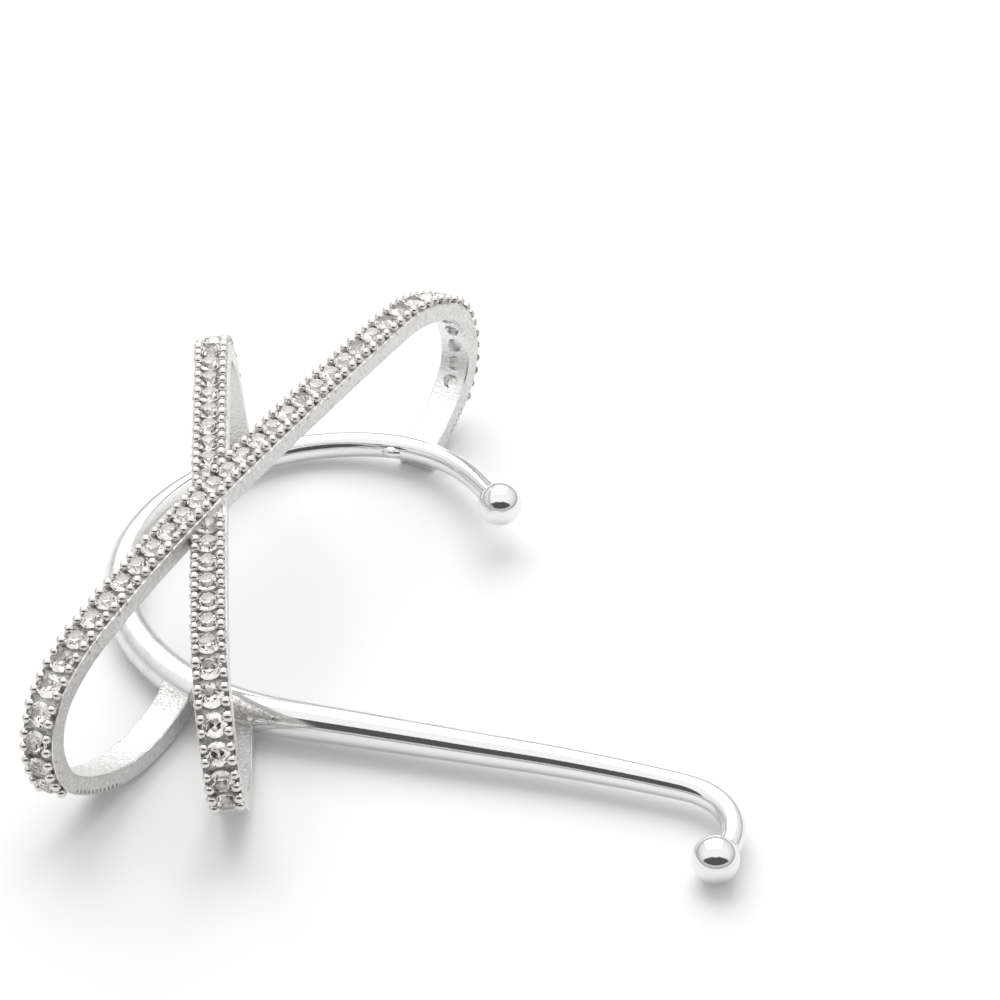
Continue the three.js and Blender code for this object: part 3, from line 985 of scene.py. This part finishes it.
def makeProngs(name, run, centres, crossedBy=None):
    # Four prongs round each centre, at -along and +along, -across and +across. Each leans
    # over its stone by the tangent of the lean, and is a little uneven at random.
    verts, faceSets, foot = prongShape()
    ahead, side = np.array([-1, -1, 1, 1]), np.array([-1, 1, -1, 1])
    at = (centres[:, None] + prong["along"] * ahead).ravel()
    ahead, side = np.tile(ahead, len(centres)), np.tile(side, len(centres))
    if crossedBy:
        # Prongs that the other band's strip would swallow are left out.
        base = run.frame(run.fromOuter(at))[0] + (prong["across"] * side)[:, None] * run.across
        away = np.abs((base - crossedBy.origin) @ crossedBy.across)
        free = away > strip["width"] / 2 + crossing["swallowed"] * prong["head"]
        at, ahead, side = at[free], ahead[free], side[free]
    count = len(at)
    point, along, out = run.frame(run.fromOuter(at))
    across = np.repeat(run.across[None], count, 0)
    leanSpread, driftSpread, wideSpread, tallSpread = prong["spreads"]
    lean = np.tan(np.radians(prong["lean"] + rng.normal(0, leanSpread, (count, 1))))
    drift = rng.normal(0, driftSpread, (count, 1))
    inwards = side[:, None] * across + prong["leanAhead"] * ahead[:, None] * along
    up = unit(out - lean * inwards + drift * along)
    x = unit(np.cross(across, up))
    grow = rng.normal(1.0, wideSpread, (count, 1))
    tall = rng.normal(1.0, tallSpread, (count, 1))
    axes = np.stack([x * grow, np.cross(up, x) * grow, up * tall], 1)
    origins = point + strip["wall"] * out + (prong["across"] * side)[:, None] * across
    made = copies(verts, origins, axes)
    sets = [copiedFaces(faces, count, len(verts)) for faces in faceSets]
    # The foot mask carries the painted shade at the prongs' feet.
    piece = addMesh(name, toRow(made), sets, {"foot": np.tile(foot, count)})
    finishPiece(piece, pronged, "polished_metal")


makeProngs("long_band_prongs", longRun, longStones)
makeProngs("short_band_prongs", shortRun, np.concatenate([shortBack, shortFront]), longRun)
print("stones and prongs set")

# solder
# Pairs hold for the wedge's thick end and its tip; shares are of the wire's length.
solder = {
    "share": 0.57,
    "length": 7.6,
    "buried": 0.18,  # share of its length that goes back into the bands
    "radius": 0.9,
    "tip": 0.1,
    "taper": 0.85,
    "rise": (0.27, 0.47),  # of the core over the wire's centre
    "across": (-0.36, -0.74),
    "rough": (0.035, 0.008),
    "evened": 1.7,  # divides the sum of three neighbours' roughness
    "twist": (0.02, 3, 4),  # depth of the slow waves, how many round it, and their slant
    "rim": (0.12, 3.3, 0.3),  # height, angle round the wedge, and pitch of its row of grains
    "rimWidth": 0.13,
    "grains": (0.6, 0.4),  # even part and swing of the row
    "rings": 110,
    "sides": 72,
}
bead = {
    "share": 0.11,
    "radius": 0.5,
    "drop": 0.45,  # towards the inside of the C
    "shape": (1.6, 0.8),  # length along the wire and height, as shares of the radius
    "pole": 0.06,  # its end rings stop this many radians short
    "rings": 24,
    "sides": 40,
}


def makeWedge():
    # A tube along the wire, its radius between thick end and tip by share ** taper, with
    # slow waves, random roughness, and a bell-shaped ridge of grains along its lower side.
    t = np.linspace(-solder["buried"], 1.0, solder["rings"])
    a = circle(solder["sides"])
    s = solder["share"] * wireLength + solder["length"] * t
    centre, _, side, top = wireFrames(s)
    part = np.clip(t, 0, 1)
    size = solder["radius"] + (solder["tip"] - solder["radius"]) * part ** solder["taper"]
    rough = rng.normal(0, 1, (len(t), len(a))) * np.interp(part, [0, 1], solder["rough"])[:, None]
    rough = (rough + np.roll(rough, 1, 1) + np.roll(rough, -1, 1)) / solder["evened"]
    high, angle, pitch = solder["rim"]
    even, swing = solder["grains"]
    grains = even + swing * np.cos(2 * np.pi * s / pitch)
    bell = np.exp(-(((a[None] - angle) / solder["rimWidth"]) ** 2))
    rim = high * (grains * (1 - part))[:, None] * bell
    depth, lobes, slant = solder["twist"]
    waves = 1 + depth * np.sin(lobes * a[None] + slant * t[:, None])
    radius = size[:, None] * waves + rough + rim
    rise, across = (np.interp(part, [0, 1], solder[key])[:, None] for key in ("rise", "across"))
    grid = tubeGrid(centre + rise * top + across * side, radius, side, top)
    finishPiece(addTube("solder_wedge", grid), soldered, "polished_metal")


def makeBead():
    # A sphere with its poles along the wire, drawn out that way and flattened in height.
    s = np.array([bead["share"] * wireLength])
    centre, along, side, top = (v[0] for v in wireFrames(s))
    polar = np.linspace(bead["pole"], np.pi - bead["pole"], bead["rings"])
    a = circle(bead["sides"])
    x = np.cos(polar)[:, None] * np.ones(len(a))
    y = np.sin(polar)[:, None] * np.cos(a)[None]
    z = np.sin(polar)[:, None] * np.sin(a)[None]
    long, high = bead["shape"]
    shape = long * x[..., None] * along + y[..., None] * side + high * z[..., None] * top
    grid = centre + bead["drop"] * side + bead["radius"] * shape
    finishPiece(addTube("solder_bead", grid), polished, "polished_metal")


makeWedge()
makeBead()
print("solder made")

# floor, light and surroundings
# Lengths here are in metres, but for the floor's cloud, (size in millimetres, detail).
# The panel's power is in watts.
studio = {
    "world": 0.66,
    "panelPower": 0.7,
    "panelSize": 0.32,
    "panelPlace": (-0.03, 0.17, 0.24),
    "floorSize": 3.0,
    "floorCloud": (30.0, 2.0),
    "floorTones": [(0.3, grey(0.93)), (0.7, grey(0.945))],
    "floorRough": 0.6,
    # The white tent that the metal mirrors: brightness by height, as a share of its radius.
    "tent": [(0.0, 0.34), (0.1, 0.55), (0.3, 0.8), (0.55, 0.97), (0.8, 1.04)],
    "tentRadius": 1.2,
    "tentGrid": (10, 48),
    "opening": 0.085,  # brightness of the dark opening round the lens
    "openingAt": 0.3,
    "openingRows": [(14, 62), (30, 56), (50, 28)],  # degrees up, and to each side
    "openingGrid": (9, 13),
    "edge": 0.34,  # brightness of the table's edge, a low ring
    "edgeRadius": 0.26,
    "edgeHeights": (-0.001, 0.016),
}


def makeFloor():
    # A square, its tone faintly clouded.
    s = Shader("white_table")
    cloud = s.noise(*studio["floorCloud"])
    s.set(base_color=s.ramp(cloud, studio["floorTones"]), roughness=studio["floorRough"])
    h = studio["floorSize"] / 2
    corners = [(-h, -h, 0), (h, -h, 0), (h, h, 0), (-h, h, 0)]
    floor = plainObject("floor", corners, [(0, 1, 2, 3)], s.material)


def makeCard(name, verts, faces, shade):
    # A glowing card that is seen in reflections and through stones, and lights nothing. Its
    # shade is one brightness, or stops by height over the tent's radius.
    s = Shader(name)
    if isinstance(shade, list):
        heightOut = 2
        height = s.node("ShaderNodeSeparateXYZ", None, {"Vector": s.place}, heightOut)
        share = height * (1 / studio["tentRadius"])
        light = s.ramp(share, [(place, grey(value)) for place, value in shade])
    else:
        light = (*grey(shade), 1)
    s.set(base_color=(0, 0, 0, 1), roughness=1.0, emission_color=light, emission_strength=1.0)
    s.material.cycles.emission_sampling = "NONE"
    card = plainObject(name, verts.tolist(), faces.tolist(), s.material)
    card.visible_camera = False
    card.visible_shadow = False
    card.visible_diffuse = False
    return card


def onSphere(radius, up, turn):
    # Points at angles up and turn on a sphere: radius * (cos up * (sin, -cos) turn, sin up).
    return radius * np.stack([np.cos(up) * np.sin(turn), -np.cos(up) * np.cos(turn), np.sin(up)], -1)


def makeTent():
    # Half a sphere over the table.
    rings, columns = studio["tentGrid"]
    heights = np.radians(np.linspace(0, 90, rings))
    up, turn = np.meshgrid(heights, circle(columns), indexing="ij")
    verts = onSphere(studio["tentRadius"], up, turn).reshape(-1, 3)
    makeCard("white_tent", verts, closedFaces(rings, columns), studio["tent"])


def makeOpening():
    # Part of a sphere on the camera's side, as far to each side as its rows say by height.
    # Only reflections see it.
    rows = np.radians(np.array(studio["openingRows"], float))
    rings, columns = studio["openingGrid"]
    heights, sides = np.linspace(rows[0, 0], rows[-1, 0], rings), np.linspace(-1, 1, columns)
    up, reach = np.meshgrid(heights, sides, indexing="ij")
    turn = reach * np.interp(up, rows[:, 0], rows[:, 1])
    i, j = np.meshgrid(np.arange(rings - 1), np.arange(columns - 1), indexing="ij")
    k = i * columns + j
    faces = np.stack([k, k + 1, k + columns + 1, k + columns], -1).reshape(-1, 4)
    verts = onSphere(studio["openingAt"], up, turn).reshape(-1, 3)
    card = makeCard("lens_opening", verts, faces, studio["opening"])
    card.visible_transmission = False


def makeEdge():
    # A low ring round the piece, from its radius and its two heights.
    turn = circle(studio["tentGrid"][1])
    ring = studio["edgeRadius"] * np.stack([np.cos(turn), np.sin(turn), 0 * turn], -1)
    walls = np.concatenate([ring + [0, 0, height] for height in studio["edgeHeights"]])
    makeCard("table_edge", walls, closedFaces(2, len(turn)), studio["edge"])


def makeStudio():
    # An even sky, a soft panel behind that points at the origin, and the cards.
    world = bpy.data.worlds.new("studio")
    bpy.context.scene.world = world
    world.use_nodes = True
    sky = world.node_tree.nodes["Background"].inputs
    sky["Color"].default_value = (1, 1, 1, 1)
    sky["Strength"].default_value = studio["world"]
    light = bpy.data.lights.new("soft_panel", "AREA")
    light.energy = studio["panelPower"]
    light.size = studio["panelSize"]
    panel = bpy.data.objects.new("soft_panel", light)
    panel.location = studio["panelPlace"]
    aim = -np.array(studio["panelPlace"])
    panel.rotation_euler = Euler((float(np.arctan2(aim[1], -aim[2])), 0.0, 0.0), "XYZ")
    bpy.context.scene.collection.objects.link(panel)
    makeTent()
    makeOpening()
    makeEdge()
    scene = bpy.context.scene
    scene.view_settings.view_transform = "Standard"
    scene.view_settings.look = "None"


makeFloor()
makeStudio()
print("studio made")
